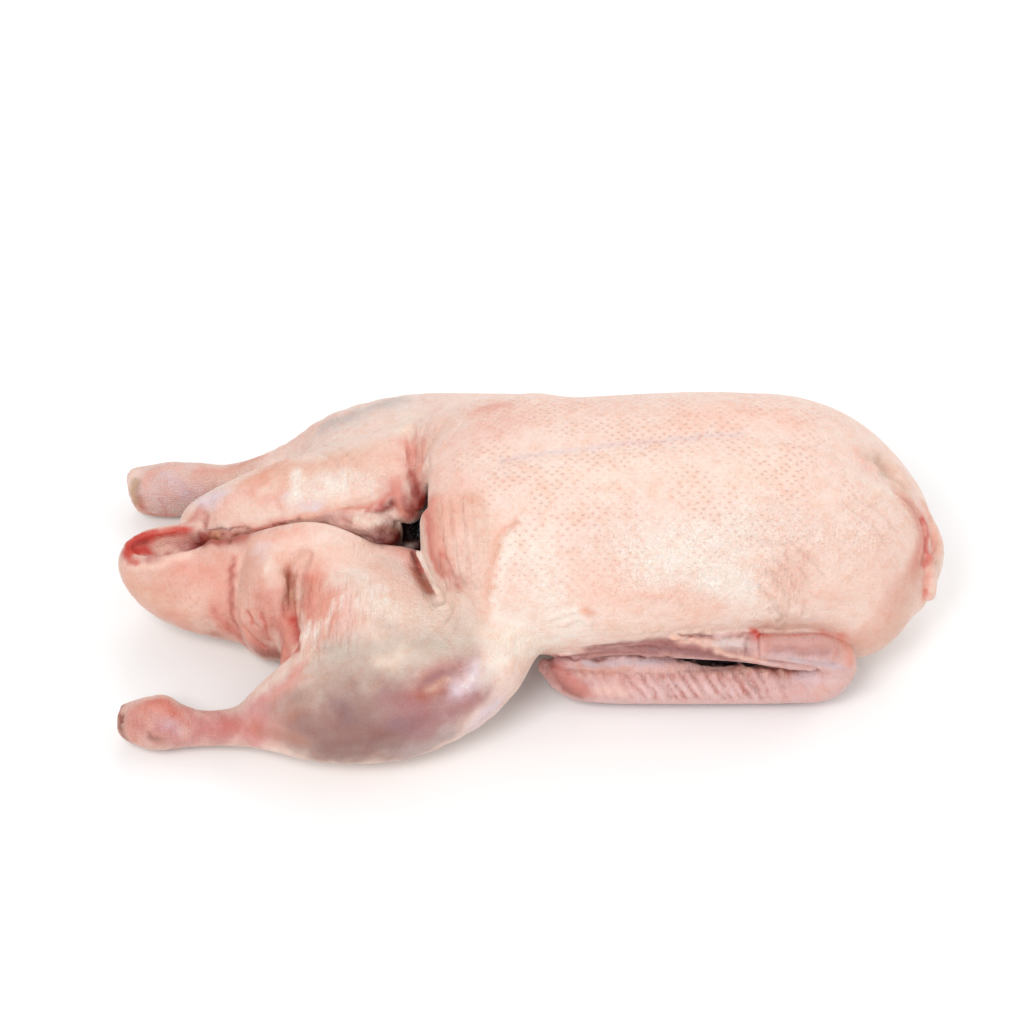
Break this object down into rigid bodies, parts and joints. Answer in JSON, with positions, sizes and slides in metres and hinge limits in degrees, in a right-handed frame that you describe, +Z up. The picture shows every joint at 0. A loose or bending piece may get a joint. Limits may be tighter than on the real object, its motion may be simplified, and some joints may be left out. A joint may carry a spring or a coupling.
{
  "type": "whole raw duck",
  "caption": "Whole dressed raw duck lying on its back, breast up, with folded wings, splayed legs cut at the hocks, tail and an open body cavity.",
  "frame": {"origin": "on the table, under the middle of the bird's bounding box", "axes": "+X from the tail to the neck end, +Z up through the breast, -Y the side towards the camera"},
  "size_m": [0.3556, 0.1928, 0.106],
  "materials": {
    "duck": "moist pale pink-cream raw skin with feather follicle dots, red cut edges"
  },
  "bodies": {
    "root": {"duck": "duck"}
  },
  "joints": []
}
